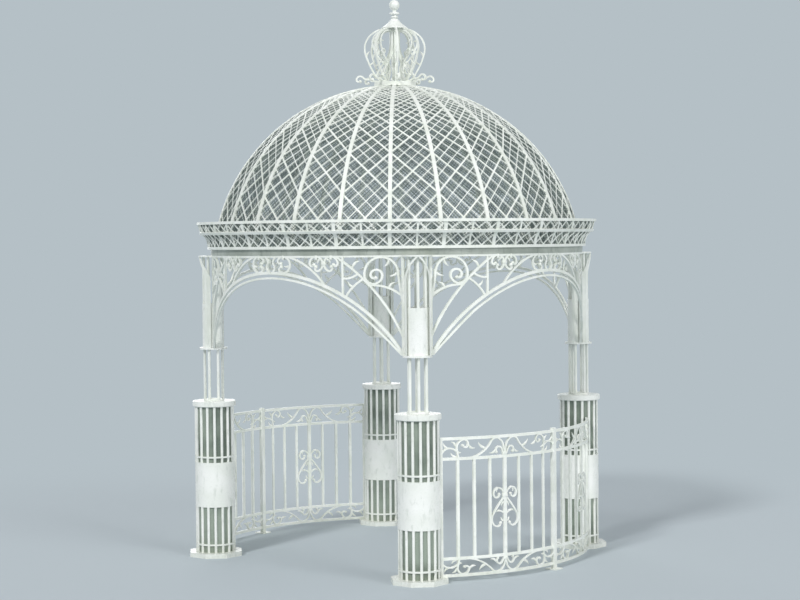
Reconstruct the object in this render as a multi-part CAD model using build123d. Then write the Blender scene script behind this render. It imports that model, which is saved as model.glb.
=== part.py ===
from build123d import *
import math
import os

# Round garden gazebo of painted wrought iron: four columns, two curved railings,
# scrolled arches, a flared cornice, and a ribbed lattice dome with a scrolled crown.
# Origin at the centre of the plan on the ground, +Z up. The open bays face -Y and +Y,
# the railed bays face -X and +X. All sizes in millimetres.

# Plan
COLUMN_CIRCLE_R = 1415.0
COLUMNS = {"front_right": -45.0, "back_right": 45.0, "back_left": 135.0, "front_left": -135.0}
ARCHES = {"right": 0.0, "back": 90.0, "left": 180.0, "front": -90.0}
RAILED = {"right": 0.0, "left": 180.0}
HALF_BAY = 45.0

# Column foot and drum pedestal
PLATE_ACROSS = 390.0
PLATE_T = 35.0
DRUM_R = 134.0
DRUM_WALL = 4.0
ROD_R = 10.5
ROD_SIDES = 8
ROD_CIRCLE_R = 140.0
ROD_COUNT = 16
BAND_R = 151.0
BAND_LOW = 382.0
BAND_HIGH = 721.0
HOOP_LINE_T = 12.0
HOOP_LINES = (88.0, 756.0)
HOOP_BITE = 1.0
CAP_R = 165.0
CAP_T = 42.0
CAP_TOP = 1187.0
CAP_CHAMFER = 5.0

# Upper shaft, a cluster of tubes held by a foot ring, a sleeve and a head plate
TUBE_R = 11.0
TUBE_CIRCLE_R = 67.5
TUBE_COUNT = 6
SHAFT_PLATE_R = 80.0
SHAFT_PLATE_T = 12.0
SHAFT_PLATE_INSET = 5.0
COLLAR_R = 105.0
COLLAR_T = 14.0
COLLAR_TOP = 1594.0
SLEEVE_TOP = 1927.0
SLEEVE_WALL = 3.5

# Pointed frames before and behind the tubes, from the collar to the head plate
FRAME_SETBACK = 8.0
FRAME_R = COLLAR_R - FRAME_SETBACK
FRAME_HALF_WIDTH = 85.0
FRAME_ARCH_RISE = 174.0
FRAME_BAR = 11.0
FRAME_DEPTH = 10.0

# Header and cornice hoops, the lower ones over the column circle
HEADER_LOW = 2295.0
HEADER_HIGH = 2340.0
HEADER_OVERHANG = 10.0
HEADER_R = COLUMN_CIRCLE_R + HEADER_OVERHANG
HOOP_INNER_BEARING = 30.0
HOOP_INNER_R = COLUMN_CIRCLE_R - HOOP_INNER_BEARING
LOWER_HOOP_OVERHANG = 35.0
LOWER_HOOP_R = COLUMN_CIRCLE_R + LOWER_HOOP_OVERHANG
LOWER_HOOP_TOP = 2360.0
TOP_HOOP_LOW = 2526.0
TOP_HOOP_T = 20.0
TOP_HOOP_OVERHANG = 12.0
TOP_HOOP_WIDTH = 38.0
MIDDLE_HOOP_DROP = 71.0
MIDDLE_HOOP_T = 16.0
MIDDLE_HOOP_DEPTH = 12.0
HOOP_CLEARANCE = 0.1

# Cornice bars, upright at both ends with a double curve between
RIB_COUNT = 24
RIB_PITCH = 360.0 / RIB_COUNT
BAR_DEPTH = 12.0
MAIN_BAR_WIDTH = 26.0
THIN_BAR_WIDTH = 14.0
FLARE_RUN = 69.0
FLARE_TOP_R = LOWER_HOOP_R + FLARE_RUN

# Crown ring on the top of the dome
CROWN_RING_R = 160.0
CROWN_RING_INNER_R = 114.0
CROWN_RING_LOW = 3580.0
CROWN_RING_T = 30.0
CROWN_RING_TOP = CROWN_RING_LOW + CROWN_RING_T

# Dome, on the circle through the springing on the lower hoop and the edge of the crown ring
DOME_SETBACK = 33.6
DOME_FOOT_R = LOWER_HOOP_R - DOME_SETBACK
DOME_CENTRE_Z = (
    (CROWN_RING_R**2 + CROWN_RING_LOW**2 - DOME_FOOT_R**2 - LOWER_HOOP_TOP**2)
    / (2 * (CROWN_RING_LOW - LOWER_HOOP_TOP))
)
DOME_R = math.hypot(CROWN_RING_R, CROWN_RING_LOW - DOME_CENTRE_Z)
RIB_WIDTH = 28.0
RIB_DEPTH = 26.0
RIB_END_OVERLAP = 6.0
LATTICE_WIDTH = 12.0
LATTICE_DEPTH = 8.0
LATTICE_INSET = 6.0
LATTICE_FOOT_RISE = 8.5
LATTICE_TOP_R = 269.0
LATTICE_ROW_COUNTS = (2, 2, 4)

# Scrolled cage of the crown, in upright panels about the axis
CAGE_PANEL_COUNT = 8
CAGE_BAR_WIDTH = 14.0
CAGE_BAR_T = 12.0
CAGE_HEIGHT = 411.0
CAGE_TOP = CROWN_RING_TOP + CAGE_HEIGHT
CAGE_BELLY_R = 227.0
CAGE_HEAD_R = 84.0
CAGE_CORE_R = 34.0
CAGE_EYE_R = 22.0
VOLUTE_REACH_R = 246.0
VOLUTE_R = 30.0

# Bell cap and ball
CAP_BELL_R = 100.0
CAP_BELL_BRIM = 8.0
CAP_BELL_HEIGHT = 75.0
CAP_NECK_R = 26.0
FINIAL_LOW = CAGE_TOP + CAP_BELL_HEIGHT
FINIAL_STEM_R = 15.0
FINIAL_BEADS = ((29.0, 7.0, 12.0), (38.0, 33.0, 15.0))
BEAD_CHAMFER = 4.0
BALL_RISE = 104.0
FINIAL_BALL_R = 40.0

# Arch brackets, flat work bent to the column circle
ARCH_R = COLUMN_CIRCLE_R
ARCH_DEPTH = 16.0
ARCH_BAR = 20.0
ARCH_PAIR_GAP = 37.0
ARCH_DROP = 123.0
ARCH_APEX_Z = HEADER_LOW - ARCH_DROP
ARCH_END_CLEARANCE = 1.0
SCROLL_BAR = 14.0

# Railings, bent to a circle a little outside the columns
RAIL_SET_OUT = 35.0
RAIL_R = COLUMN_CIRCLE_R + RAIL_SET_OUT
RAIL_DEPTH = 16.0
RAIL_BAR = 20.0
RAIL_FOOT = PLATE_T + RAIL_BAR / 2
RAIL_LOW = 164.0
RAIL_HIGH = 865.0
RAIL_TOP = 1007.0
BALUSTER_BAR = 18.0
MIDDLE_BALUSTER_BAR = 26.0
BALUSTER_COUNT = 7
END_BAR_OVERLAP = 9.0
FRIEZE_BAR = 11.0
HEART_LOW = 364.0
HEART_HIGH = 653.0
HEART_HALF_WIDTH = 113.0
POST_WIDTH = 32.0
POST_TOP = 1030.0
POST_FOOT = 90.0
POST_FOOT_T = 8.0

UP = (Align.CENTER, Align.CENTER, Align.MIN)


def disc(radius, low, high):
    """Round plate between two heights."""
    return Pos(0, 0, low) * Cylinder(radius, high - low, align=UP)


def ring(outer, inner, low, high):
    """Flat hoop between two radii and two heights."""
    return disc(outer, low, high) - disc(inner, low, high)


def turned(point, heading, distance):
    """Point at a distance from another along a heading in degrees."""
    angle = math.radians(heading)
    return (point[0] + distance * math.cos(angle), point[1] + distance * math.sin(angle))


def between(start, end, fraction):
    """Point part of the way from one point to another."""
    return (start[0] + fraction * (end[0] - start[0]), start[1] + fraction * (end[1] - start[1]))


def arc_strip(centre, radius, start, end, width):
    """Bar of constant width along a circular arc in the drawing plane."""
    outer = CenterArc(centre, radius + width / 2, start, end - start)
    inner = CenterArc(centre, radius - width / 2, start, end - start)
    return make_face([outer, Line(outer @ 1, inner @ 1), inner, Line(inner @ 0, outer @ 0)])


def straight_strip(start, end, width):
    """Bar of constant width between two points in the drawing plane."""
    heading = math.degrees(math.atan2(end[1] - start[1], end[0] - start[0]))
    corners = [
        turned(start, heading + 90, width / 2),
        turned(start, heading - 90, width / 2),
        turned(end, heading - 90, width / 2),
        turned(end, heading + 90, width / 2),
    ]
    return make_face(Polyline(*corners, close=True))


def through_strip(start, middle, end, width):
    """Bar of constant width along the arc through three points."""
    path = ThreePointArc(start, middle, end)
    centre = path.arc_center
    first = math.degrees(math.atan2(start[1] - centre.Y, start[0] - centre.X))
    last = math.degrees(math.atan2(end[1] - centre.Y, end[0] - centre.X))
    via = math.degrees(math.atan2(middle[1] - centre.Y, middle[0] - centre.X))
    if (via - first) % 360 > (last - first) % 360:
        first, last = last, first
    return arc_strip((centre.X, centre.Y), path.radius, first, first + (last - first) % 360, width)


def swept(start, heading, radius, sweep, width):
    """Arc bar from a start and heading, to the left for a positive sweep; returns its end too."""
    side = 1 if sweep > 0 else -1
    centre = turned(start, heading + 90 * side, radius)
    first = heading - 90 * side
    last = first + sweep
    strip = arc_strip(centre, radius, min(first, last), max(first, last), width)
    return strip, turned(centre, last, radius), heading + sweep


def scroll(start, heading, arcs, width):
    """Scroll of tangent arcs, each a radius and a signed sweep, ending in a round eye."""
    pieces = []
    for radius, sweep in arcs:
        strip, start, heading = swept(start, heading, radius, sweep, width)
        pieces.append(strip)
    pieces.append(Pos(start[0], start[1]) * Circle(0.75 * width))
    return pieces


def flow(start, heading, points, width):
    """Bar of tangent arcs from a start and heading through each point; returns the last heading."""
    pieces = []
    for point in points:
        chord = math.dist(start, point)
        direction = math.degrees(math.atan2(point[1] - start[1], point[0] - start[0]))
        bend = (direction - heading + 180) % 360 - 180
        if abs(bend) < 1:
            pieces.append(straight_strip(start, point, width))
        else:
            radius = chord / (2 * math.sin(math.radians(abs(bend))))
            pieces.append(swept(start, heading, radius, 2 * bend, width)[0])
            heading += 2 * bend
        start = point
    return pieces, heading


def c_scroll(centre, radius, opening, width):
    """Round back open towards a heading, with both ends curled inwards."""
    first, last = opening + 55, opening + 305
    eye_r = 0.34 * radius
    pieces = [arc_strip(centre, radius, first, last, width)]
    pieces += scroll(turned(centre, last, radius), last + 90, [(eye_r, 150)], width)
    pieces += scroll(turned(centre, first, radius), first - 90, [(eye_r, -150)], width)
    return pieces


def mirrored(pieces):
    """Pieces and their mirror images about the upright centre line."""
    return pieces + [mirror(piece, Plane.YZ) for piece in pieces]


def bent(pieces, radius, depth, heading):
    """Flat drawing (X across, Y up) set upright and cut to a round wall at a heading."""
    drawing = Sketch() + pieces
    upright = Plane(origin=(0, 0, 0), x_dir=(0, 1, 0), z_dir=(1, 0, 0))
    blank = extrude(upright * drawing, 1.1 * radius)
    low = drawing.bounding_box().min.Y - 1
    high = drawing.bounding_box().max.Y + 1
    wall = ring(radius + depth / 2, radius - depth / 2, low, high)
    return Rot(0, 0, heading) * (blank & wall)


def base_plate():
    """Eight-sided plate that a column stands on."""
    outline = RegularPolygon(PLATE_ACROSS / 2, 8, major_radius=False, rotation=22.5)
    return extrude(outline, PLATE_T)


def pedestal():
    """Sheet drum with upright rods, a broad band and two thin hoops."""
    top = CAP_TOP - CAP_T
    body = ring(DRUM_R, DRUM_R - DRUM_WALL, PLATE_T, top)
    rod = Pos(ROD_CIRCLE_R, 0, PLATE_T) * extrude(RegularPolygon(ROD_R, ROD_SIDES), top - PLATE_T)
    rods = [Rot(0, 0, 360 / ROD_COUNT * index) * rod for index in range(ROD_COUNT)]
    inner = DRUM_R - HOOP_BITE
    lines = [ring(BAND_R, inner, low, low + HOOP_LINE_T) for low in HOOP_LINES]
    return body + rods + [ring(BAND_R, inner, BAND_LOW, BAND_HIGH)] + lines


def pedestal_cap():
    """Round cap plate with eased edges."""
    cap = disc(CAP_R, CAP_TOP - CAP_T, CAP_TOP)
    return chamfer(cap.edges(), CAP_CHAMFER)


def pointed_frame():
    """Two legs on the collar that meet in a pointed arch in the head plate, facing +X."""
    head = HEADER_LOW - SHAFT_PLATE_T / 2
    spring = (FRAME_HALF_WIDTH, head - FRAME_ARCH_RISE)
    arc, _ = flow(spring, 90, [(0, head)], FRAME_BAR)
    leg = straight_strip((FRAME_HALF_WIDTH, COLLAR_TOP), spring, FRAME_BAR)
    return bent(mirrored(arc + [leg]), FRAME_R, FRAME_DEPTH, 0)


def shaft():
    """Ring of upright tubes between a foot plate and a head plate, with a pointed frame each way."""
    tube = Pos(TUBE_CIRCLE_R, 0, CAP_TOP) * Cylinder(TUBE_R, HEADER_LOW - CAP_TOP, align=UP)
    tubes = [Rot(0, 0, 360 / TUBE_COUNT * index) * tube for index in range(TUBE_COUNT)]
    inner = TUBE_CIRCLE_R - TUBE_R - SHAFT_PLATE_INSET
    foot = ring(SHAFT_PLATE_R, inner, CAP_TOP, CAP_TOP + SHAFT_PLATE_T)
    head = ring(COLLAR_R, inner, HEADER_LOW - SHAFT_PLATE_T, HEADER_LOW)
    frame = pointed_frame()
    return foot + tubes + [head, frame, Rot(0, 0, 180) * frame]


def sleeve():
    """Sheet sleeve round the tubes, with a wide collar at its foot."""
    inner = TUBE_CIRCLE_R + TUBE_R
    collar = ring(COLLAR_R, inner, COLLAR_TOP - COLLAR_T, COLLAR_TOP)
    return collar + ring(inner + SLEEVE_WALL, inner, COLLAR_TOP, SLEEVE_TOP)


def arch_half():
    """Right half of an arch bracket, from the middle of the bay to the stile on the collar."""
    span = ARCH_R * math.radians(HALF_BAY) - COLLAR_R + ARCH_BAR / 2
    rail_z = HEADER_LOW - SCROLL_BAR / 2
    rise = ARCH_APEX_Z - COLLAR_TOP
    bow = (span**2 + rise**2) / (2 * rise)
    bow_z = ARCH_APEX_Z - bow

    def at(part, height):
        """Drawing point at a part of the span along the wall."""
        return (ARCH_R * math.sin((part - 0.5) * span / ARCH_R), height)

    def up(fraction):
        """Height at a fraction of the way from the collar to the rail."""
        return COLLAR_TOP + fraction * (rail_z - COLLAR_TOP)

    def over(fraction):
        """Height at a fraction of the way from the crown of the arch to the rail."""
        return ARCH_APEX_Z + fraction * (rail_z - ARCH_APEX_Z)

    def on_arch(part, inside=0.0):
        """Drawing point on the arch line, or on a line inside it."""
        return at(part, bow_z + math.sqrt((bow - inside) ** 2 - (part * span) ** 2))

    gap = ARCH_PAIR_GAP
    pieces = [
        straight_strip(at(0, rail_z), at(1, rail_z), SCROLL_BAR),
        straight_strip(at(1, COLLAR_TOP), at(1, HEADER_LOW), ARCH_BAR),
        through_strip(on_arch(0), on_arch(0.25), on_arch(0.5), ARCH_BAR),
        through_strip(on_arch(0.5), on_arch(0.75), on_arch(1), ARCH_BAR),
        through_strip(on_arch(0, gap), on_arch(0.35, gap), on_arch(0.7, gap), SCROLL_BAR),
        through_strip(on_arch(0.7, gap), on_arch(0.86, 0.93 * gap), on_arch(0.99, 0.2 * gap), SCROLL_BAR),
    ]
    # Lens bar to the rail, brace from the stile to the rail, strut and two links between them
    pieces += [
        through_strip(on_arch(0.45), at(0.31, over(0.42)), at(0.15, rail_z), SCROLL_BAR),
        through_strip(at(1, up(0.175)), at(0.75, up(0.736)), at(0.53, rail_z), SCROLL_BAR),
        straight_strip(on_arch(0.58), at(0.58, rail_z), SCROLL_BAR),
        through_strip(at(0.69, up(0.825)), at(0.64, up(0.786)), at(0.58, up(0.78)), SCROLL_BAR),
        through_strip(at(0.725, up(0.77)), at(0.66, up(0.70)), on_arch(0.60), SCROLL_BAR),
        through_strip(at(1, up(0.59)), at(0.88, up(0.69)), at(0.76, up(0.705)), SCROLL_BAR),
    ]
    # Lyre posts at the middle
    pieces += [
        through_strip(at(0.008, over(0)), at(0.036, over(0.3)), at(0.02, over(0.6)), SCROLL_BAR),
        through_strip(at(0.02, over(0.6)), at(0.026, over(0.8)), at(0.05, rail_z), SCROLL_BAR),
    ]
    # C-scrolls hung from the rail
    for part, size, opening in ((0.115, 0.47, 190), (0.385, 0.42, 230), (0.495, 0.42, 310)):
        across, rail = at(part, rail_z)
        scroll_r = size * ARCH_DROP
        pieces += c_scroll((across, rail - scroll_r), scroll_r, opening, SCROLL_BAR)
    # Large loop beside the stile, wound into a scroll against the brace
    start = at(0.995, up(0.56))
    points = [at(0.965, up(0.85)), at(0.86, rail_z - SCROLL_BAR / 2), at(0.735, up(0.80))]
    loop, heading = flow(start, 100, points, SCROLL_BAR)
    pieces += loop
    turns = [(0.5 * ARCH_DROP, 165), (0.33 * ARCH_DROP, 170), (0.2 * ARCH_DROP, 130)]
    pieces += scroll(points[-1], heading, turns, SCROLL_BAR)
    return bent(pieces, ARCH_R, ARCH_DEPTH, math.degrees(span / 2 / ARCH_R))


def arch():
    """Whole arch bracket, centred on +X."""
    right = arch_half()
    column = Rot(0, 0, HALF_BAY) * Pos(COLUMN_CIRCLE_R, 0, 0)
    plate_gap_r = COLLAR_R + ARCH_END_CLEARANCE
    right = right - column * disc(plate_gap_r, HEADER_LOW - SHAFT_PLATE_T, HEADER_LOW + ARCH_BAR)
    right = right - column * disc(TUBE_CIRCLE_R + TUBE_R + SLEEVE_WALL, 0, HEADER_LOW + ARCH_BAR)
    right = right & disc(2 * ARCH_R, COLLAR_TOP, HEADER_LOW)
    return right + mirror(right, Plane.XZ)


def frieze(low, high, step, across):
    """Right half of the scrollwork between two rails, drawn from one height to the other."""
    way = 1 if high > low else -1

    def at(steps, fraction):
        """Drawing point some baluster steps from the middle and a fraction of the way across."""
        return (across(steps * step), low + fraction * (high - low))

    wave = [at(0.11, 0.6), at(0.47, 0.93), at(0.9, 0.8), at(2.7, 0.02)]
    pieces, heading = flow(at(0, 0), 90 * way, wave, FRIEZE_BAR)
    hook, heading = flow(at(2.95, 0), 75 * way, [at(3.06, 0.5), at(2.7, 0.93), at(2.37, 0.68)], FRIEZE_BAR)
    pieces += hook + scroll(at(2.37, 0.68), heading, [(0.16 * step, 150 * way)], FRIEZE_BAR)
    cane, heading = flow(at(0.07, 0.05), 75 * way, [at(0.25, 0.42)], FRIEZE_BAR)
    pieces += cane + scroll(at(0.25, 0.42), heading, [(0.19 * step, -190 * way)], FRIEZE_BAR)
    pieces.append(through_strip(at(3.95, 0.3), at(3.6, 0.52), at(3.08, 0.36), FRIEZE_BAR))
    return pieces


def heart():
    """Right half of the upturned heart on the middle baluster, with a volute above the tie."""

    def at(across, up):
        """Drawing point at a part of the half width and of the height."""
        return (across * HEART_HALF_WIDTH, HEART_LOW + up * (HEART_HIGH - HEART_LOW))

    lobe = [at(0.88, 0.33), at(0.98, 0.17), at(0.62, 0.02), at(0.34, 0.1)]
    pieces, heading = flow(at(0, 0.77), -47, lobe, FRIEZE_BAR)
    pieces.append(Pos(*lobe[-1]) * Circle(0.75 * FRIEZE_BAR))
    neck = at(0.28, 0.93)
    stem, heading = flow(at(0, 0.72), 82, [neck], FRIEZE_BAR)
    turns = [(0.34 * HEART_HALF_WIDTH, -165), (0.2 * HEART_HALF_WIDTH, -150)]
    sprig, last = flow(at(0, 0.28), 60, [at(0.4, 0.4)], FRIEZE_BAR)
    return pieces + stem + scroll(neck, heading, turns, FRIEZE_BAR) + sprig


def railing_half():
    """Railing between the right-hand pedestal of a bay and the middle post."""
    end_gap = math.degrees(math.asin((BAND_R + RAIL_BAR / 2 - END_BAR_OVERLAP) / RAIL_R))
    end_phi = HALF_BAY - end_gap
    step = RAIL_R * math.radians(end_phi) / (BALUSTER_COUNT + 1)
    end = (BALUSTER_COUNT + 1) / 2

    def across(along):
        """Drawing X at a distance along the wall from the middle baluster."""
        return RAIL_R * math.sin(along / RAIL_R)

    pieces = []
    for height in (RAIL_FOOT, RAIL_LOW, RAIL_HIGH, RAIL_TOP):
        pieces.append(straight_strip((across(-end * step), height), (across(end * step), height), RAIL_BAR))
    for index in range(1, BALUSTER_COUNT + 1):
        place = across((index - end) * step)
        width = MIDDLE_BALUSTER_BAR if index == end else BALUSTER_BAR
        pieces.append(straight_strip((place, RAIL_LOW), (place, RAIL_HIGH), width))
    edge = across(end * step)
    pieces.append(straight_strip((edge, RAIL_FOOT - RAIL_BAR / 2), (edge, RAIL_TOP + RAIL_BAR / 2), RAIL_BAR))
    pieces += mirrored(frieze(RAIL_HIGH, RAIL_TOP, step, across))
    pieces += mirrored(frieze(RAIL_LOW, RAIL_FOOT, step, across))
    pieces += mirrored(heart())
    panel = bent(pieces, RAIL_R, RAIL_DEPTH, end_phi / 2)
    column = Rot(0, 0, HALF_BAY) * Pos(COLUMN_CIRCLE_R, 0, 0) * disc(BAND_R, 0, CAP_TOP)
    post = Pos(RAIL_R, 0, 0) * Box(4 * POST_WIDTH, POST_WIDTH, 3 * POST_TOP)
    return panel - column - post


def railing_post():
    """Square middle post on its foot plate."""
    foot = Box(POST_FOOT, POST_FOOT, POST_FOOT_T, align=UP)
    return Pos(RAIL_R, 0, 0) * (foot + Box(POST_WIDTH, POST_WIDTH, POST_TOP, align=UP))


def flare_arcs():
    """Radius and sweep of the two equal arcs that make the double curve of the cornice."""
    rise = TOP_HOOP_LOW - LOWER_HOOP_TOP
    sweep = 2 * math.degrees(math.atan(FLARE_RUN / rise))
    return rise / (2 * math.sin(math.radians(sweep))), sweep


def cornice_bar(width):
    """One cornice bar on +X, hollow below and full above."""
    radius, sweep = flare_arcs()
    foot = (LOWER_HOOP_R + radius, LOWER_HOOP_TOP)
    head = (FLARE_TOP_R - radius, TOP_HOOP_LOW)
    hollow = arc_strip(foot, radius + BAR_DEPTH / 2, 180 - sweep, 180, BAR_DEPTH)
    full = arc_strip(head, radius - BAR_DEPTH / 2, -sweep, 0, BAR_DEPTH)
    return extrude(Plane.XZ * (hollow + full), width / 2, both=True)


def middle_hoop():
    """Hoop that runs round the outside of the cornice bars, on their full part."""
    radius, sweep = flare_arcs()
    centre = (FLARE_TOP_R - radius, TOP_HOOP_LOW)
    low = -math.degrees(math.asin(MIDDLE_HOOP_DROP / radius))
    high = -math.degrees(math.asin((MIDDLE_HOOP_DROP - MIDDLE_HOOP_T) / radius))
    profile = arc_strip(centre, radius + HOOP_CLEARANCE + MIDDLE_HOOP_DEPTH / 2, low, high, MIDDLE_HOOP_DEPTH)
    return revolve(Plane.XZ * profile, Axis.Z)


def dome_rib():
    """One curved dome rib on +X, from the lower hoop to the crown ring."""
    annulus = Pos(0, DOME_CENTRE_Z) * (Circle(DOME_R) - Circle(DOME_R - RIB_DEPTH))
    inner = CROWN_RING_INNER_R + RIB_END_OVERLAP
    window = Pos((inner + DOME_R) / 2, (LOWER_HOOP_TOP + CROWN_RING_LOW) / 2) * Rectangle(
        DOME_R - inner, CROWN_RING_LOW - LOWER_HOOP_TOP
    )
    return extrude(Plane.XZ * (annulus & window), RIB_WIDTH / 2, both=True)


def lattice_latitudes():
    """Latitudes of the lattice knots on a rib, spaced for lines of one slope from foot to top."""
    radius = DOME_R - LATTICE_INSET
    foot = math.asin((LOWER_HOOP_TOP + LATTICE_FOOT_RISE - DOME_CENTRE_Z) / radius)
    head = math.acos(LATTICE_TOP_R / radius)
    first = math.log(math.tan(math.pi / 4 + foot / 2))
    last = math.log(math.tan(math.pi / 4 + head / 2))
    rows = sum(LATTICE_ROW_COUNTS)
    stretched = [first + (last - first) * row / rows for row in range(rows + 1)]
    return [2 * math.degrees(math.atan(math.exp(value))) - 90 for value in stretched]


def knot(latitude, longitude):
    """Point of the lattice surface at a latitude and longitude in degrees."""
    radius = DOME_R - LATTICE_INSET
    out = radius * math.cos(math.radians(latitude))
    high = DOME_CENTRE_Z + radius * math.sin(math.radians(latitude))
    angle = math.radians(longitude)
    return Vector(out * math.cos(angle), out * math.sin(angle), high)


def lattice_cell(low, high):
    """Two crossed bars between neighbouring ribs, centred on +X, in the plane of their ends."""
    half = RIB_PITCH / 2
    low_left = knot(low, -half)
    low_right = knot(low, half)
    high_left = knot(high, -half)
    high_right = knot(high, half)
    across = (low_right - low_left).normalized()
    foot = (low_left + low_right) / 2
    head = (high_left + high_right) / 2
    plane = Plane(origin=foot, x_dir=across, z_dir=across.cross(head - foot).normalized())
    corners = [plane.to_local_coords(point) for point in (low_left, low_right, high_left, high_right)]
    flat = [(corner.X, corner.Y) for corner in corners]
    cross = straight_strip(flat[0], flat[3], LATTICE_WIDTH) + straight_strip(flat[1], flat[2], LATTICE_WIDTH)
    return extrude(plane * cross, -LATTICE_DEPTH / 2, both=True)


def bay_wedge():
    """Space between the flanks of two neighbouring ribs, centred on +X."""
    half = math.radians(RIB_PITCH / 2)
    start = RIB_WIDTH / 2 / math.sin(half)
    reach = 1.2 * DOME_R
    spread = (reach - start) * math.tan(half)
    outline = make_face(Polyline((start, 0), (reach, -spread), (reach, spread), close=True))
    low = LOWER_HOOP_TOP
    return Pos(0, 0, low) * extrude(outline, CROWN_RING_LOW - low)


def lattice_bay():
    """Crossed bars of one bay as strips, each a few rows high."""
    latitudes = lattice_latitudes()
    wedge = bay_wedge()
    strips = []
    row = 0
    for count in LATTICE_ROW_COUNTS:
        strip = lattice_cell(latitudes[row], latitudes[row + 1])
        for extra in range(row + 1, row + count):
            strip = strip + lattice_cell(latitudes[extra], latitudes[extra + 1])
        strips.append(strip & wedge)
        row += count
    return strips


def crown_cage_panel():
    """One scrolled panel of the crown on +X, drawn as distance from the axis and height."""
    low = CROWN_RING_TOP + CAGE_BAR_T / 2
    rise = CAGE_TOP - low
    width = CAGE_BAR_T

    def at(out, fraction):
        """Drawing point at a part of the belly radius and of the height of the cage."""
        return (out * CAGE_BELLY_R, low + fraction * rise)

    # Round outer bar from the cap to the spoke on the ring
    crossing = at(0.38, 0.35)
    knee = at(0.645, 0.1)
    outer = [at(0.83, 0.87), at(1, 0.53), knee, at(0.42, 0)]
    pieces, heading = flow((CAGE_HEAD_R, CAGE_TOP), -10, outer, width)
    pieces.append(straight_strip(at(0.36, 0), (CROWN_RING_R, low), width))
    # Inner C-bar from the core, out under the cap and back to the spoke
    inner = [at(0.46, 0.95), at(0.735, 0.66), at(0.6, 0.5), crossing, at(0.28, 0.24), at(0.38, 0)]
    inner_bar, heading = flow((CAGE_CORE_R, at(0, 0.955)[1]), 10, inner, width)
    pieces += inner_bar
    # Core bar from the cap, out across the C-bar to the knee of the outer bar
    core_points = [(CAGE_CORE_R, at(0, 0.72)[1]), crossing, knee]
    core_bar, heading = flow((CAGE_CORE_R, CAGE_TOP), -90, core_points, width)
    pieces += core_bar
    # Ring curl inside the C-bar, and the volute that hooks out over the dome
    eye = at(0.735, 0.56)
    curl = Circle(CAGE_EYE_R) - Circle(CAGE_EYE_R - width)
    pieces.append(Pos(eye[0] - CAGE_EYE_R - width / 2, eye[1]) * curl)
    reach = (VOLUTE_REACH_R, low + VOLUTE_R)
    hook, heading = flow((CROWN_RING_R, low), 50, [between((CROWN_RING_R, low), reach, 0.5), reach], width)
    pieces += hook + scroll(reach, heading, [(VOLUTE_R, -120), (0.6 * VOLUTE_R, -150)], width)
    panel = extrude(Plane.XZ * (Sketch() + pieces), CAGE_BAR_WIDTH / 2, both=True)
    return panel & disc(2 * VOLUTE_REACH_R, CROWN_RING_TOP, CAGE_TOP)


def crown_cap():
    """Bell cap that closes the top of the cage."""
    low, high = CAGE_TOP, FINIAL_LOW
    brim = low + CAP_BELL_BRIM
    hollow = between((CAP_NECK_R, high), (CAP_BELL_R, brim), 0.4)
    outline = [
        Line((0, low), (CAP_BELL_R, low)),
        Line((CAP_BELL_R, low), (CAP_BELL_R, brim)),
        ThreePointArc((CAP_BELL_R, brim), (hollow[0], hollow[1] - CAP_BELL_BRIM), (CAP_NECK_R, high)),
        Line((CAP_NECK_R, high), (0, high)),
        Line((0, high), (0, low)),
    ]
    return revolve(Plane.XZ * make_face(outline), Axis.Z)


def bead(radius, low, thickness):
    """Turned ring with eased edges."""
    return chamfer(disc(radius, low, low + thickness).edges(), BEAD_CHAMFER)


def finial():
    """Ball on a turned stem with two beads."""
    centre = FINIAL_LOW + BALL_RISE
    ball = Pos(0, 0, centre) * Sphere(FINIAL_BALL_R)
    beads = [bead(radius, FINIAL_LOW + rise, thickness) for radius, rise, thickness in FINIAL_BEADS]
    return ball + disc(FINIAL_STEM_R, FINIAL_LOW, centre) + beads


def write(name, solids):
    """Write one node from its solids."""
    shape = solids[0] if len(solids) == 1 else Compound(children=solids)
    export_step(shape, f"parts/{name}.step")


def around(shape, angle):
    """Copy of a shape turned about the upright axis."""
    return Rot(0, 0, angle) * shape


def write_columns():
    """Foot plates, pedestals, caps, shafts and sleeves."""
    plate, drum, cap, tubes, jacket = base_plate(), pedestal(), pedestal_cap(), shaft(), sleeve()
    out = Pos(COLUMN_CIRCLE_R, 0, 0)
    write("base_plates", [around(out * plate, angle) for angle in COLUMNS.values()])
    for name, angle in COLUMNS.items():
        write(f"pedestal_{name}", [around(out * drum, angle)])
        write(f"pedestal_cap_{name}", [around(out * cap, angle)])
        write(f"shaft_{name}", [around(out * tubes, angle)])
        write(f"shaft_sleeve_{name}", [around(out * jacket, angle)])


def write_bays():
    """Arch brackets, railings and middle posts."""
    bracket = arch()
    for name, angle in ARCHES.items():
        write(f"arch_{name}", [around(bracket, angle)])
    panel = railing_half()
    other = mirror(panel, Plane.XZ)
    for name, angle in RAILED.items():
        write(f"railing_{name}_a", [around(panel, angle)])
        write(f"railing_{name}_b", [around(other, angle)])
    write("railing_posts", [around(railing_post(), angle) for angle in RAILED.values()])


def write_cornice():
    """Header, three hoops and the flared bars."""
    write("header_hoop", [ring(HEADER_R, HOOP_INNER_R, HEADER_LOW, HEADER_HIGH)])
    write("lower_hoop", [ring(LOWER_HOOP_R, HOOP_INNER_R, HEADER_HIGH, LOWER_HOOP_TOP)])
    write("middle_hoop", [middle_hoop()])
    top_r = FLARE_TOP_R + TOP_HOOP_OVERHANG
    write("top_hoop", [ring(top_r, top_r - TOP_HOOP_WIDTH, TOP_HOOP_LOW, TOP_HOOP_LOW + TOP_HOOP_T)])
    main_bar, thin_bar = cornice_bar(MAIN_BAR_WIDTH), cornice_bar(THIN_BAR_WIDTH)
    bars = [around(main_bar, RIB_PITCH * (index + 0.5)) for index in range(RIB_COUNT)]
    bars += [around(thin_bar, RIB_PITCH * index) for index in range(RIB_COUNT)]
    write("cornice_bars", bars)


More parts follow.
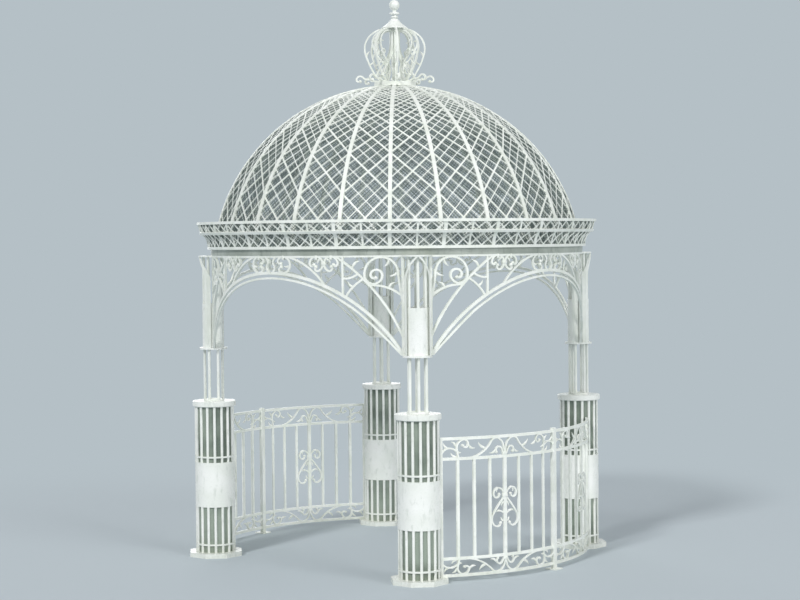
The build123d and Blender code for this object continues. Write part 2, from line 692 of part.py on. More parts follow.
def write_dome():
    """Ribs and lattice, a quarter of the dome to a node."""
    rib, strips = dome_rib(), lattice_bay()
    for name, angle in COLUMNS.items():
        turns = [angle + RIB_PITCH * (index - 2.5) for index in range(RIB_COUNT // 4)]
        write(f"dome_ribs_{name}", [around(rib, turn) for turn in turns])
        bays = [angle + RIB_PITCH * (index - 3) for index in range(RIB_COUNT // 4)]
        write(f"dome_lattice_{name}", [around(strip, turn) for turn in bays for strip in strips])


def write_crown():
    """Crown ring, scrolled cage, bell cap and finial."""
    write("crown_ring", [ring(CROWN_RING_R, CROWN_RING_INNER_R, CROWN_RING_LOW, CROWN_RING_TOP)])
    panel = crown_cage_panel()
    write("crown_cage", [around(panel, 360 / CAGE_PANEL_COUNT * index) for index in range(CAGE_PANEL_COUNT)])
    write("crown_cap", [crown_cap()])
    write("finial_ball", [finial()])


def main():
    """Write every node."""
    os.makedirs("parts", exist_ok=True)
    write_columns()
    write_bays()
    write_cornice()
    write_dome()
    write_crown()


main()
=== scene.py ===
import logging
import math
from dataclasses import dataclass, field
from enum import Enum
from typing import Sequence

import bpy
import numpy as np
from mathutils import Matrix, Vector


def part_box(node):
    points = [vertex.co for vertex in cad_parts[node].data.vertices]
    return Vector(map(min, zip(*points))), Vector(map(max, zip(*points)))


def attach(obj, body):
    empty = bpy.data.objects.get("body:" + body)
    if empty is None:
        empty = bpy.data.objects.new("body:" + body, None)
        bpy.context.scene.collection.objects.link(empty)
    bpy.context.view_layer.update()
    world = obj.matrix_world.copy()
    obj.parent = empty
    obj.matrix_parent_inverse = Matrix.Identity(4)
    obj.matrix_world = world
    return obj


logging.basicConfig(level=logging.INFO, format="%(message)s")
LOG = logging.getLogger("gazebo")

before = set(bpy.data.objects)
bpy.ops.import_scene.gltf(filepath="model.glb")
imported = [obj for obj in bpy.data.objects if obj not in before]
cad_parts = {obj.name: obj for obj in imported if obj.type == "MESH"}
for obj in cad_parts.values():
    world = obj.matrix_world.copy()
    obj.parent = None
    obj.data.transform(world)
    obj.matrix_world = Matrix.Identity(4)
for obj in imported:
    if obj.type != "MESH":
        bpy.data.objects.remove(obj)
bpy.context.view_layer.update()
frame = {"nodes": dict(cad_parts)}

# Lengths are metres. Bars and leaves are given in millimetres times MM.
MM = 0.001
BODY = "root"
QUARTER = math.pi / 2
COLUMN_CIRCLE_R = 1.415
COLUMN_OFFSET = COLUMN_CIRCLE_R * math.sqrt(0.5)
RIB_COUNT = 24
RIB_PITCH = 2 * math.pi / RIB_COUNT
# The upright direction, and the factors that keep only the level part of a direction.
UP = np.array([0.0, 0.0, 1.0])
LEVEL = np.array([1.0, 1.0, 0.0])
# Most values of a noise lie between these.
NOISE_LOW, NOISE_HIGH = 0.34, 0.62

Tree = bpy.types.NodeTree
Socket = bpy.types.NodeSocket
Colour = tuple[float, float, float, float]
Surface = tuple[np.ndarray, np.ndarray]
Place = tuple[float, float]
Places = tuple[Place, ...]
Triple = tuple[float, float, float]
LeafRows = tuple[tuple[float, float, float, float, float, float], ...]
Layers = tuple[tuple[int, int, int, float], ...]


class Way(Enum):
    """Sense in which slanting wires turn round the axis as they rise."""

    LEFT = 1
    RIGHT = -1


# Colour and node helpers


def linear(code: str) -> Colour:
    """Turn an sRGB hex colour into linear RGBA.

    Args:
        code: Colour such as "#F2F4EE".

    Returns:
        Linear red, green and blue, and an alpha of 1.
    """
    channels = [int(code[i:i + 2], 16) / 255 for i in (1, 3, 5)]
    spread = [c / 12.92 if c <= 0.04045 else ((c + 0.055) / 1.055) ** 2.4 for c in channels]
    return (spread[0], spread[1], spread[2], 1.0)


def two_tones(low: str, high: str) -> tuple[tuple[float, Colour], ...]:
    """Stops of a colour ramp from one sRGB hex colour to another over the values of a noise."""
    return (NOISE_LOW, linear(low)), (NOISE_HIGH, linear(high))


def emptied(owner: bpy.types.Material | bpy.types.World) -> Tree:
    """Node tree of a material or world, with nothing in it.

    Args:
        owner: The material or world.

    Returns:
        Its node tree.
    """
    owner.use_nodes = True
    owner.node_tree.nodes.clear()
    return owner.node_tree


def add(
    tree: Tree, kind: str, settings: dict[str | int, object] | None = None, **links: Socket
) -> bpy.types.Node:
    """Add a node, set its properties and sockets, and link its inputs.

    A Mix node for colours takes its part at input 0 and its colours at inputs 6 and 7, and gives
    the mixed colour at output 2.

    Args:
        tree: Node tree that receives the node.
        kind: Node type name.
        settings: Values by property name, or by socket name or number, and the places and colours
            of a colour ramp by the name stops.
        **links: Output sockets by input name with _ for a space, or by _N for input number N.

    Returns:
        The new node.
    """
    made = tree.nodes.new(kind)
    for name, value in (settings or {}).items():
        if name == "stops":
            for stop, (position, colour) in zip(made.color_ramp.elements, value):
                stop.position, stop.color = position, colour
        elif isinstance(name, str) and hasattr(made, name):
            setattr(made, name, value)
        else:
            made.inputs[name].default_value = value
    for name, socket in links.items():
        key = int(name[1:]) if name[0] == "_" else name.replace("_", " ")
        tree.links.new(socket, made.inputs[key])
    return made


# Finishes


@dataclass(frozen=True)
class Enamel:
    """Alkyd enamel on iron or sheet: an uneven gloss film over the metal's own surface.

    The base colour drifts between two tones over some hundred millimetres. Thin places of a few
    centimetres, drawn out upright where rain has run, show a duller film. Brush marks of a few
    millimetres, coarser than real ones so that they show, set gloss and a slight relief. Hammer
    or casting dents come from a rounded cell pattern. Dust lies near the ground.
    """

    name: str
    light: str
    dark: str
    roughness: float
    dents: float
    ior: float = 1.5
    gloss_drift: Place = (-0.08, 0.1)
    worn: str = "#E3E7DF"
    worn_scale: float = 34.0
    worn_rise: float = 1.0
    tone_scale: float = 9.0
    brush_scale: float = 160.0
    brush_relief: float = 0.12
    brush_depth: float = 0.6 * MM
    dent_part: float = 0.35
    dent_depth: float = 1.5 * MM
    dust: str = "#A9AF97"
    dust_height: float = 160 * MM

    def build(self) -> bpy.types.Material:
        """Make the material from its settings.

        Returns:
            The material.
        """
        material = bpy.data.materials.new(self.name)
        tree = emptied(material)
        place = add(tree, "ShaderNodeTexCoord").outputs["Object"]
        drift = {"Scale": self.tone_scale, "Detail": 4.0}
        tone = add(tree, "ShaderNodeTexNoise", drift, Vector=place)
        tones = {"stops": two_tones(self.dark, self.light)}
        base = add(tree, "ShaderNodeValToRGB", tones, Fac=tone.outputs["Fac"])
        colour = self.thinned(tree, place, base.outputs["Color"])
        colour = self.dusted(tree, place, self.coat(tree, place, colour))
        marks = {"Scale": self.brush_scale, "Detail": 3.0}
        brush = add(tree, "ShaderNodeTexNoise", marks, Vector=place).outputs["Fac"]
        glossy, dull = (self.roughness + part for part in self.gloss_drift)
        span = {"From Min": 0.3, "From Max": 0.7, "To Min": glossy, "To Max": dull}
        gloss = add(tree, "ShaderNodeMapRange", span, Value=brush)
        shader = add(
            tree, "ShaderNodeBsdfPrincipled", {"IOR": self.ior}, Base_Color=colour,
            Roughness=gloss.outputs["Result"], Normal=self.relief(tree, place, brush),
        )
        add(tree, "ShaderNodeOutputMaterial", None, Surface=shader.outputs["BSDF"])
        return material

    def relief(self, tree: Tree, place: Socket, brush: Socket) -> Socket:
        """Rounded dents over the finer brush marks.

        Args:
            tree: Node tree to add to.
            place: Object coordinates.
            brush: Height of the brush marks.

        Returns:
            The surface normal.
        """
        cells = {"feature": "SMOOTH_F1", "Scale": self.dent_part * self.brush_scale}
        hammer = add(tree, "ShaderNodeTexVoronoi", cells, Vector=place)
        fine = {"Strength": self.brush_relief, "Distance": self.brush_depth}
        marks = add(tree, "ShaderNodeBump", fine, Height=brush)
        deep = {"Strength": self.dents, "Distance": self.dent_depth}
        dented = add(
            tree, "ShaderNodeBump", deep, Height=hammer.outputs["Distance"],
            Normal=marks.outputs["Normal"],
        )
        return dented.outputs["Normal"]

    def thinned(self, tree: Tree, place: Socket, colour: Socket) -> Socket:
        """Duller places where the film is thin, stretched upright by the rise.

        Args:
            tree: Node tree to add to.
            place: Object coordinates.
            colour: Colour of the full film.

        Returns:
            The patchy colour.
        """
        rise = {"Scale": (1.0, 1.0, 1.0 / self.worn_rise)}
        drawn = add(tree, "ShaderNodeMapping", rise, Vector=place)
        film = {"Scale": self.worn_scale, "Detail": 6.0, "Roughness": 0.62}
        thin = add(tree, "ShaderNodeTexNoise", film, Vector=drawn.outputs["Vector"])
        span = {"From Min": 0.54, "From Max": 0.72, "To Min": 0.0, "To Max": 0.8}
        part = add(tree, "ShaderNodeMapRange", span, Value=thin.outputs["Fac"]).outputs["Result"]
        over = {"data_type": "RGBA", 7: linear(self.worn)}
        return add(tree, "ShaderNodeMix", over, _0=part, _6=colour).outputs[2]

    def coat(self, tree: Tree, place: Socket, colour: Socket) -> Socket:
        """One coat all over."""
        return colour

    def dusted(self, tree: Tree, place: Socket, colour: Socket) -> Socket:
        """Ground dust in spots, thinning out with height.

        Args:
            tree: Node tree to add to.
            place: Object coordinates.
            colour: Colour of the clean paint.

        Returns:
            The dusted colour.
        """
        height = add(tree, "ShaderNodeSeparateXYZ", None, Vector=place).outputs["Z"]
        fade = {"From Min": 0.0, "From Max": self.dust_height, "To Min": 0.5, "To Max": 0.0}
        low = add(tree, "ShaderNodeMapRange", fade, Value=height).outputs["Result"]
        spots = add(tree, "ShaderNodeTexNoise", {"Scale": 28.0, "Detail": 5.0}, Vector=place)
        times = {"operation": "MULTIPLY"}
        part = add(tree, "ShaderNodeMath", times, _0=low, _1=spots.outputs["Fac"]).outputs[0]
        over = {"data_type": "RGBA", 7: linear(self.dust)}
        return add(tree, "ShaderNodeMix", over, _0=part, _6=colour).outputs[2]


@dataclass(frozen=True)
class DrumEnamelWithPaintedShade(Enamel):
    """Enamel on the pedestals: white rods, band and hoops, and a grey skin between the rods that is
    painted shade of the recess behind them.

    The skin drifts from dull to pale grey over a quarter metre, a painted reflection of the ground
    round it.
    """

    # Painted shade and painted reflection: the dark and the pale grey of the skin between the rods.
    skin_painted_shade_dark: str = "#697569"
    skin_painted_reflection_light: str = "#98A396"
    skin_r: float = 135.2 * MM

    def coat(self, tree: Tree, place: Socket, colour: Socket) -> Socket:
        """Painted shade: grey where the distance from the nearest column axis is short of the rods,
        in place of the shade between them.

        Args:
            tree: Node tree to add to.
            place: Object coordinates.
            colour: Colour of the white paint.

        Returns:
            The white paint, with painted shade and painted reflection on the skin.
        """
        # Mask of the painted shade: points nearer the column axis than the rods.
        fold = add(tree, "ShaderNodeVectorMath", {"operation": "ABSOLUTE"}, _0=place)
        drop = {"operation": "MULTIPLY", 1: tuple(LEVEL)}
        flat = add(tree, "ShaderNodeVectorMath", drop, _0=fold.outputs[0])
        shift = {"operation": "SUBTRACT", 1: (COLUMN_OFFSET, COLUMN_OFFSET, 0.0)}
        off = add(tree, "ShaderNodeVectorMath", shift, _0=flat.outputs[0])
        reach = add(tree, "ShaderNodeVectorMath", {"operation": "LENGTH"}, _0=off.outputs[0])
        short, beyond = self.skin_r - MM, self.skin_r + MM
        edge = {"From Min": short, "From Max": beyond, "To Min": 1.0, "To Max": 0.0}
        inside = add(tree, "ShaderNodeMapRange", edge, Value=reach.outputs["Value"])
        # Painted reflection: the skin's grey drifts as if it mirrored the ground.
        drift = add(tree, "ShaderNodeTexNoise", {"Scale": 4.0, "Detail": 3.0}, Vector=place)
        tones = {"stops": two_tones(self.skin_painted_shade_dark, self.skin_painted_reflection_light)}
        skin = add(tree, "ShaderNodeValToRGB", tones, Fac=drift.outputs["Fac"])
        mix = add(
            tree, "ShaderNodeMix", {"data_type": "RGBA"}, _0=inside.outputs["Result"],
            _6=colour, _7=skin.outputs["Color"],
        )
        return mix.outputs[2]


# Rain leaves broad patches of thin paint on sheet, and the brush was wider.
SHEET_WEAR = {
    "worn": "#D6DBD3", "worn_scale": 26.0, "worn_rise": 2.6, "tone_scale": 5.0, "brush_scale": 90.0,
}
# Hammered bar: soft gloss, broken by shallow dents.
FORGED = Enamel("white_enamel_on_forged_bar", "#F8FAF4", "#EBEFE5", 0.36, 0.35)
# Cast leaf: a rough skin under the paint, and tones that change from leaf to leaf.
CAST = Enamel("white_enamel_on_cast_leaf", "#FAFBF6", "#E6EBDF", 0.34, 0.5, tone_scale=30.0)
# Drawn tube: smooth, with long upright streaks where rain has run.
TUBE = Enamel(
    "white_enamel_on_drawn_tube", "#F7F9F4", "#E9EDE4", 0.33, 0.10, worn_rise=9.0, tone_scale=6.0
)
# Rolled sheet: a broad even gloss that shows every worn patch.
SHEET = Enamel("white_enamel_on_rolled_sheet", "#FAFBF7", "#EFF2EB", 0.30, 0.06, **SHEET_WEAR)
# Turned iron: nearly no dents, and small bright highlights.
TURNED = Enamel("white_enamel_on_turned_iron", "#F9FAF6", "#ECF0E7", 0.26, 0.05, tone_scale=14.0)
# Drawn wire: thin paint, too narrow for a highlight of its own.
WIRE = Enamel(
    "white_enamel_on_drawn_wire", "#F7F9F4", "#E8ECE4", 0.4, 0.1, worn_scale=60.0, tone_scale=12.0
)
# Rolled flat under the cornice: grey paint that is painted shade, standing in for the shadow of the
# cornice overhang, so that it sits back behind the white ironwork.
HEADER_PAINTED_SHADE = Enamel(
    "painted_shade_grey_on_rolled_flat", "#B4BAB1", "#9BA298", 0.42, 0.12,
    worn="#7F877E", worn_rise=3.0, tone_scale=6.0,
)
# Woven net: grey paint on the wire, darkened further as painted shade of the dim inside of the dome
# and cornice, so that it reads as a grey veil between the wires.
NET_WITH_PAINTED_SHADE = Enamel(
    "grey_enamel_and_painted_shade_on_woven_net", "#6C7974", "#525E59", 0.5, 0.1, worn="#46514C", tone_scale=5.0
)
# Drum: glossy white rods and band, with a dull grey skin between the rods that is painted shade,
# its drift a painted reflection.
DRUM_PAINTED_SHADE = DrumEnamelWithPaintedShade(
    "white_enamel_and_painted_shade_on_drum", "#FAFBF7", "#EFF2EB", 0.32, 0.06, **SHEET_WEAR
)


@dataclass
class Finishes:
    """The materials, and which CAD node takes which: the first whose stem starts its name."""

    made: dict[str, bpy.types.Material] = field(default_factory=dict)
    # The pedestal drum and the header hoop carry painted shade: the grey skin between the rods and
    # the grey header under the cornice.
    kinds: tuple[tuple[str, Enamel], ...] = (
        ("pedestal_cap", SHEET), ("pedestal", DRUM_PAINTED_SHADE), ("shaft_sleeve", SHEET), ("shaft", TUBE),
        ("base_plates", SHEET), ("crown_cap", TURNED), ("finial", TURNED),
        ("railing_posts", TUBE), ("header_hoop", HEADER_PAINTED_SHADE), ("", FORGED),
    )

    def get(self, finish: Enamel) -> bpy.types.Material:
        """Material of a finish, made once.

        Args:
            finish: The finish.

        Returns:
            Its material.
        """
        if finish.name not in self.made:
            self.made[finish.name] = finish.build()
        return self.made[finish.name]

    def dress(self, nodes: dict[str, bpy.types.Object]) -> None:
        """Give each CAD node its finish.

        Args:
            nodes: CAD objects by node name.
        """
        for name, item in sorted(nodes.items()):
            finish = next(kind for stem, kind in self.kinds if name.startswith(stem))
            material = self.get(finish)
            if not item.data.materials:
                item.data.materials.append(material)
            for slot in item.material_slots:
                slot.material = material
            LOG.info("%s: %s", name, finish.name)


# Mesh helpers


def in_scene(name: str, data: bpy.types.ID) -> bpy.types.Object:
    """New object in the scene, at the origin.

    Args:
        name: Name of the object.
        data: Its mesh, lamp or camera.

    Returns:
        The new object.
    """
    item = bpy.data.objects.new(name, data)
    bpy.context.scene.collection.objects.link(item)
    return item


def quad_mesh(name: str, surface: Surface, material: bpy.types.Material) -> bpy.types.Object:
    """Turn arrays into an object in the scene.

    Args:
        name: Name of the object.
        surface: Vertices, N by 3, and their numbers in each quad, M by 4.
        material: Finish.

    Returns:
        The new object.
    """
    points, quads = surface
    mesh = bpy.data.meshes.new(name)
    mesh.vertices.add(len(points))
    mesh.vertices.foreach_set("co", points.astype(np.float32).ravel())
    mesh.loops.add(quads.size)
    mesh.loops.foreach_set("vertex_index", quads.astype(np.int32).ravel())
    mesh.polygons.add(len(quads))
    mesh.polygons.foreach_set("loop_start", np.arange(0, quads.size, 4, dtype=np.int32))
    mesh.update(calc_edges=True)
    mesh.validate()
    mesh.materials.append(material)
    return in_scene(name, mesh)


def piece(
    name: str, surface: Surface, material: bpy.types.Material, smooth: bool = False
) -> bpy.types.Object:
    """Make a finished piece that rides on the body.

    Args:
        name: Name of the piece.
        surface: Vertices and quads.
        material: Finish.
        smooth: Whether its faces are shaded as one round surface.

    Returns:
        The new object.
    """
    made = quad_mesh(name, surface, material)
    made.data.polygons.foreach_set("use_smooth", np.full(len(made.data.polygons), smooth))
    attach(made, BODY)
    return made


def unit(vectors: np.ndarray) -> np.ndarray:
    """Vectors scaled to length one."""
    return vectors / np.linalg.norm(vectors, axis=-1, keepdims=True)


# Quads that close a section, by its number of corners.
CAPS = {4: np.array([(0, 1, 2, 3)]), 8: np.array([(0, 1, 2, 3), (0, 3, 4, 7), (4, 5, 6, 7)])}


def sweep(
    lines: np.ndarray, outward: np.ndarray, width: float | np.ndarray,
    depth: float | np.ndarray, sides: int = 4,
) -> Surface:
    """Carry a section with flat sides along many lines at once and close both ends.

    The side direction is the line's tangent crossed with the outward direction. Corner k of the
    section stands at the angle (k + 1/2) turns / sides, from the side direction towards outward,
    so that its flats lie half a width and half a depth from the line.

    Args:
        lines: Points, L by N by 3.
        outward: Outward directions, L by N by 3.
        width: Across the surface, one value or N of them.
        depth: Through the surface, one value or N of them.
        sides: Corners of the section, 4 or 8.

    Returns:
        Vertices and quads.
    """
    count, steps = lines.shape[:2]
    tangent = np.gradient(lines, axis=1)
    side = unit(np.cross(tangent, outward))[:, :, None]
    out = unit(np.cross(side[:, :, 0], tangent))[:, :, None]
    turn = 2 * math.pi * (np.arange(sides) + 0.5) / sides
    half = 0.5 / math.cos(math.pi / sides)
    across = half * np.broadcast_to(width, steps)[:, None] * np.cos(turn)
    through = half * np.broadcast_to(depth, steps)[:, None] * np.sin(turn)
    ring = lines[:, :, None] + across[None, ..., None] * side + through[None, ..., None] * out
    base = (np.arange(count)[:, None, None] * steps + np.arange(steps - 1)[None, :, None]) * sides
    k = np.arange(sides)[None, None, :]
    after = (k + 1) % sides
    walls = np.stack([base + k, base + sides + k, base + sides + after, base + after], axis=-1)
    first = np.arange(count)[:, None, None] * steps * sides
    last = first + (steps - 1) * sides
    caps = [first + CAPS[sides], last + CAPS[sides][:, ::-1]]
    return ring.reshape(-1, 3), np.concatenate([part.reshape(-1, 4) for part in (walls, *caps)])


def joined(surfaces: Sequence[Surface]) -> Surface:
    """Several surfaces as one set of vertices and quads.

    Args:
        surfaces: Vertices and quads of each.

    Returns:
        Vertices and quads of all.
    """
    starts = np.cumsum([0] + [len(points) for points, _ in surfaces[:-1]])
    quads = [faces + start for (_, faces), start in zip(surfaces, starts)]
    return np.concatenate([points for points, _ in surfaces]), np.concatenate(quads)


def turned_round(points: np.ndarray, angles: np.ndarray) -> np.ndarray:
    """Copies of points turned about the upright axis: x cos - y sin, x sin + y cos, z.

    Args:
        points: Any array that ends in 3.
        angles: Turns in radians.

    Returns:
        Array with the turns as its first axis.
    """
    c, s = np.cos(angles), np.sin(angles)
    z = np.zeros_like(c)
    rows = ([c, -s, z], [s, c, z], [z, z, z + 1])
    turn = np.stack([np.stack(row, -1) for row in rows], -2)
    return np.einsum("aij,...j->a...i", turn, points)


def repeated(lines: np.ndarray, angles: np.ndarray) -> np.ndarray:
    """Lines copied round the axis, with the copies side by side in the first axis."""
    return turned_round(lines, angles).reshape(-1, *lines.shape[1:])


@dataclass(frozen=True)
class Wall:
    """Round upright wall that flat work is bent to."""

    radius: float
    heading: float

    def lay(self, flat: np.ndarray) -> Surface:
        """Bend drawing points on to the wall: the angle is the distance over the radius.

        Args:
            flat: Distance along the wall and height, ending in 2.

        Returns:
            Points and outward directions, ending in 3.
        """
        angle = self.heading + flat[..., 0] / self.radius
        outward = np.stack([np.cos(angle), np.sin(angle), np.zeros_like(angle)], -1)
        return outward * self.radius + flat[..., 1:] * UP, outward


@dataclass(frozen=True)
class Leaf:
    """Cast leaf: a bent, pointed blade, thick along its middle and set on a short stalk.

    Along the blade the width runs evenly from stalk to tip, plus the sine of the part of its
    length to the power 0.8, so that it is fullest short of the middle. The thickness follows
    the same law.
    """

    start: Place
    end: Place
    width: float = 17 * MM
    bend: float = 0.16

    def path(self, steps: int) -> np.ndarray:
        """Drawing points from stalk to tip, bowed to the left by 4 bend t (1 - t) of the length.

        Args:
            steps: Number of points.

        Returns:
            Points, N by 2.
        """
        part = np.linspace(0, 1, steps)[:, None]
        start, end = np.array(self.start), np.array(self.end)
        along = end - start
        left = np.array([-along[1], along[0]])
        return start + along * part + 4 * self.bend * left * part * (1 - part)

    def mirrored(self) -> "Leaf":
        """The same leaf on the other side of the drawing's upright centre line."""
        start, end = (-self.start[0], self.start[1]), (-self.end[0], self.end[1])
        return Leaf(start, end, self.width, -self.bend)

    def turned_over(self) -> "Leaf":
        """The same leaf bowed to its other side, as in a drawing that is upside down."""
        return Leaf(self.start, self.end, self.width, -self.bend)


def placed(rows: LeafRows, origin: Place, unit_size: Place) -> list[Leaf]:
    """Leaves from rows in parts of a drawing's own size.

    Args:
        rows: Start across and up, end across and up, width in millimetres, and bend.
        origin: Drawing point that the rows start from.
        unit_size: Size of one part across and up.

    Returns:
        The leaves.
    """
    (x, z), (dx, dz) = origin, unit_size
    return [
        Leaf((x + x0 * dx, z + z0 * dz), (x + x1 * dx, z + z1 * dz), width * MM, bend)
        for x0, z0, x1, z1, width, bend in rows
    ]


@dataclass
class LeafBed:
    """Cast leaves laid on walls or on upright planes through the axis, as one mesh."""

    thickness: float = 10 * MM
    stalk: float = 8 * MM
    tip: float = 3 * MM
    steps: int = 9
    surfaces: list[Surface] = field(default_factory=list)

    def profile(self, size: float) -> np.ndarray:
        """Sizes along the blade by the leaf's law.

        Args:
            size: Full size at the fullest place.

        Returns:
            One size for each point.
        """
        part = np.linspace(0, 1, self.steps)
        even = self.stalk + (self.tip - self.stalk) * part
        return even + (size - 0.5 * (self.stalk + self.tip)) * np.sin(math.pi * part**0.8)

    def on_wall(self, leaf: Leaf, wall: Wall) -> None:
        """Lay a leaf on a wall."""
        points, outward = wall.lay(leaf.path(self.steps))
        self.lay(points, outward, leaf.width)

    def on_plane(self, leaf: Leaf, angle: float) -> None:
        """Lay a leaf in an upright plane through the axis.

        Args:
            leaf: Leaf drawn as distance from the axis and height.
            angle: Heading of the plane in radians.
        """
        flat = leaf.path(self.steps)
        out = np.array([math.cos(angle), math.sin(angle), 0.0])
        points = flat[:, :1] * out + flat[:, 1:] * UP
        self.lay(points, np.broadcast_to(np.cross(UP, out), points.shape), leaf.width)

    def lay(self, points: np.ndarray, outward: np.ndarray, width: float) -> None:
        """Sweep one blade along its points."""
        sizes = self.profile(width), self.profile(self.thickness)
        self.surfaces.append(sweep(points[None], outward[None], *sizes, 8))


@dataclass
class BallSet:
    """Cast balls round the scroll eyes, as one mesh.

    A ball is swept upright. At the part t of its half height, from -1 to 1, its radius is the
    square root of 1 - t^2 of the full one, and its poles are cut flat where it is a third.
    """

    radius: float
    rings: int = 9
    pole_cut: float = 0.1
    surfaces: list[Surface] = field(default_factory=list)

    def place(self, centre: np.ndarray, outward: np.ndarray) -> None:
        """Add a ball.

        Args:
            centre: Middle of the ball.
            outward: Level direction that one of its corners is measured from.
        """
        turn = math.pi * np.linspace(self.pole_cut, 1 - self.pole_cut, self.rings)
        part = -np.cos(turn)[:, None]
        points = centre + self.radius * part * UP
        size = 2 * self.radius * np.sqrt(1 - part[:, 0] ** 2)
        level = np.broadcast_to(outward, points.shape)
        self.surfaces.append(sweep(points[None], level[None], size, size, 8))

    def on_wall(self, flat: Place, wall: Wall) -> None:
        """Add a ball at a drawing point on a wall."""
        self.place(*wall.lay(np.array(flat)))


# A collar's section: out from the bars in parts of its thickness, and along them in parts of its
# half length. It is a flat band with two eased edges.
COLLAR_SECTION = np.array(
    [(-0.5, -1.0), (0.5, -1.0), (1.0, -0.7), (1.0, 0.7), (0.5, 1.0), (-0.5, 1.0)]
)


@dataclass
class CollarSet:
    """Wrapped collars that tie two bars, as one mesh.

    Each is a closed ring: a rounded oblong with the law |x|^4 + |y|^4 = 1 round the bars, with
    the collar's section carried round it.
    """

    thickness: float = 4 * MM
    turns: int = 20
    surfaces: list[Surface] = field(default_factory=list)

    def tie(
        self, centre: np.ndarray, axis: np.ndarray, across: np.ndarray, half: Triple
    ) -> None:
        """Add a collar.

        Args:
            centre: Middle of the collar.
            axis: Direction of the tied bars.
            across: Direction across them in their own plane.
            half: Half sizes across the bars, through them and along them.
        """
        angle = 2 * math.pi * np.arange(self.turns) / self.turns
        grow = (np.cos(angle) ** 4 + np.sin(angle) ** 4) ** -0.25
        over = self.thickness * COLLAR_SECTION[:, 0]
        rise = half[2] * COLLAR_SECTION[:, 1]
        x = (half[0] + over)[None, :] * (grow * np.cos(angle))[:, None]
        y = (half[1] + over)[None, :] * (grow * np.sin(angle))[:, None]
        flat = x[..., None] * across + y[..., None] * np.cross(axis, across)
        points = centre + flat + rise[None, :, None] * axis
        size = len(COLLAR_SECTION)
        turn, ring = np.meshgrid(np.arange(self.turns), np.arange(size), indexing="ij")
        here, after, above = turn * size, (turn + 1) % self.turns * size, (ring + 1) % size
        quads = np.stack([here + ring, after + ring, after + above, here + above], -1)
        self.surfaces.append((points.reshape(-1, 3), quads.reshape(-1, 4)))


@dataclass
class Trim:
    """The cast leaves, the balls and the collars of one sub-assembly."""

    stem: str
    bed: LeafBed
    balls: BallSet
    ties: CollarSet

    def pieces(self, finishes: Finishes) -> list[bpy.types.Object]:
        """One piece of each kind.

        Args:
            finishes: The materials.

        Returns:
            Leaves, balls and collars.
        """
        cast, forged = finishes.get(CAST), finishes.get(FORGED)
        return [
            piece(f"{self.stem}_leaves", joined(self.bed.surfaces), cast, smooth=True),
            piece(f"{self.stem}_eyes", joined(self.balls.surfaces), cast, smooth=True),
            piece(f"{self.stem}_collars", joined(self.ties.surfaces), forged),
        ]


# Sub-assemblies


@dataclass
class DomeMesh:
    """White wires and fine net between the dome ribs, along both slopes of the main lattice.

    The surface is the sphere through the springing and the crown ring, a little inside it. The
    latitude for a stretched latitude s is 2 atan(exp s) less a right angle, which keeps one slope
    all the way up, and every wire is straight from rib to rib. A layer holds the parts that the
    main spacing is cut into, its lowest and its highest row, and the size of its wire.
    """

    rows: int = 8
    setback: float = 33.6 * MM
    foot_rise: float = 8.5 * MM
    top_r: float = 269 * MM
    inset: float = 6 * MM
    wires: Layers = ((3, 0, 6, 6.5 * MM), (2, 6, 8, 5 * MM))
    net: Layers = ((12, 0, 3, 3.4 * MM), (9, 3, 5, 3 * MM), (6, 5, 8, 2.6 * MM))

    def __post_init__(self) -> None:
        """Find the sphere from the lower hoop and the crown ring."""
        hoop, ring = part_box("lower_hoop")[1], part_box("crown_ring")
        foot_r, foot_z, ring_r, ring_z = hoop.x - self.setback, hoop.z, ring[1].x, ring[0].z
        squares = ring_r**2 + ring_z**2 - foot_r**2 - foot_z**2
        self.centre_z = squares / (2 * (ring_z - foot_z))
        self.radius = math.hypot(ring_r, ring_z - self.centre_z) - self.inset
        foot = math.asin((foot_z + self.foot_rise - self.centre_z) / self.radius)
        self.first = math.log(math.tan(math.pi / 4 + foot / 2))
        last = math.log(math.tan(math.pi / 4 + math.acos(self.top_r / self.radius) / 2))
        self.step = (last - self.first) / self.rows

    def on_rib(self, row: np.ndarray, longitude: float) -> np.ndarray:
        """Points of the surface at lattice rows on a rib.

        Args:
            row: Rows above the foot, whole or not.
            longitude: Angle from +X in radians.

        Returns:
            Points, N by 3.
        """
        latitude = 2 * np.arctan(np.exp(self.first + self.step * row)) - QUARTER
        out = self.radius * np.cos(latitude)
        high = self.centre_z + self.radius * np.sin(latitude)
        return np.stack([out * math.cos(longitude), out * math.sin(longitude), high], -1)

    def layer(self, split: int, low: int, high: int, width: float) -> Surface:
        """Wires at even parts of the main spacing, between two rows.

        Args:
            split: Parts that the main spacing is cut into.
            low: Lowest row.
            high: Highest row.
            width: Size of the wire.

        Returns:
            Vertices and quads.
        """
        starts = np.arange((low - 1) * split + 1, high * split)
        starts = starts[starts % split != 0] / split
        left = self.on_rib(starts, -RIB_PITCH / 2)
        right = self.on_rib(starts + 1, RIB_PITCH / 2)
        begin = np.clip(low - starts, 0, 1)[:, None]
        end = np.clip(high - starts, 0, 1)[:, None]
        rising = np.stack([left + (right - left) * begin, left + (right - left) * end], 1)
        falling = rising * np.array([1.0, -1.0, 1.0])
        bay = np.concatenate([rising, falling])
        lines = repeated(bay, RIB_PITCH * np.arange(RIB_COUNT))
        return sweep(lines, lines - self.centre_z * UP, width, width)

    def build(self, finishes: Finishes) -> list[bpy.types.Object]:
        """Make the wires and the net.

        Args:
            finishes: The materials.

        Returns:
            Both pieces.
        """
        wires, net = (
            joined([self.layer(*layer) for layer in layers]) for layers in (self.wires, self.net)
        )
        return [
            piece("dome_wires", wires, finishes.get(WIRE)),
            piece("dome_net", net, finishes.get(NET_WITH_PAINTED_SHADE)),
        ]


